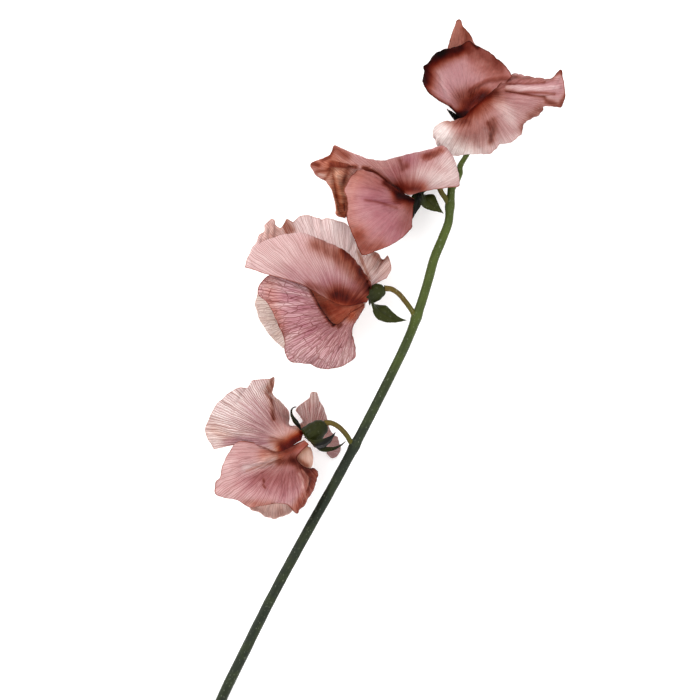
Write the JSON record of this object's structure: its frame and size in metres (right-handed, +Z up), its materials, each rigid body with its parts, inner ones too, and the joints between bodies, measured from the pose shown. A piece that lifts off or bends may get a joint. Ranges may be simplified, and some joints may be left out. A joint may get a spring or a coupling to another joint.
{
  "type": "sweet pea flower stem",
  "caption": "Cut stem of sweet pea in flower, lying down: dusky pink, veined, ruffled flowers on short arched pedicels with green toothed calyces.",
  "frame": {"origin": "bottom centre of the whole spray's box, on the surface it lies on", "axes": "+Y along the stem from its cut end to the top flower, +Z up from the surface, +X to the right seen from above with the cut end nearest"},
  "size_m": [0.1186, 0.2352, 0.0317],
  "materials": {
    "banner_petal": "thin silky petal, dusty rose with darker veins and a cream margin",
    "wing_petal": "thin silky petal, mauve rose with darker net veins and orange tints at the claw",
    "keel_petal": "thin petal, cream flushed with rose",
    "stamens": "pale yellow-green, matte",
    "calyx": "dark green, slightly hairy leaf surface",
    "pedicel": "yellow-green stalk, satin",
    "stem": "green stalk, fine pale specks, satin"
  },
  "bodies": {
    "root": {"stem": "stem", "calyx_1": "calyx", "pedicel_1": "pedicel", "keel_1": "keel_petal", "stamens_1": "stamens", "wing_near_1": "wing_petal", "wing_far_1": "wing_petal", "banner_1": "banner_petal", "calyx_2": "calyx", "pedicel_2": "pedicel", "keel_2": "keel_petal", "stamens_2": "stamens", "wing_near_2": "wing_petal", "wing_far_2": "wing_petal", "banner_2": "banner_petal", "calyx_3": "calyx", "pedicel_3": "pedicel", "keel_3": "keel_petal", "stamens_3": "stamens", "wing_near_3": "wing_petal", "wing_far_3": "wing_petal", "banner_3": "banner_petal", "calyx_4": "calyx", "pedicel_4": "pedicel", "keel_4": "keel_petal", "stamens_4": "stamens", "wing_near_4": "wing_petal", "wing_far_4": "wing_petal", "banner_4": "banner_petal"}
  },
  "joints": []
}
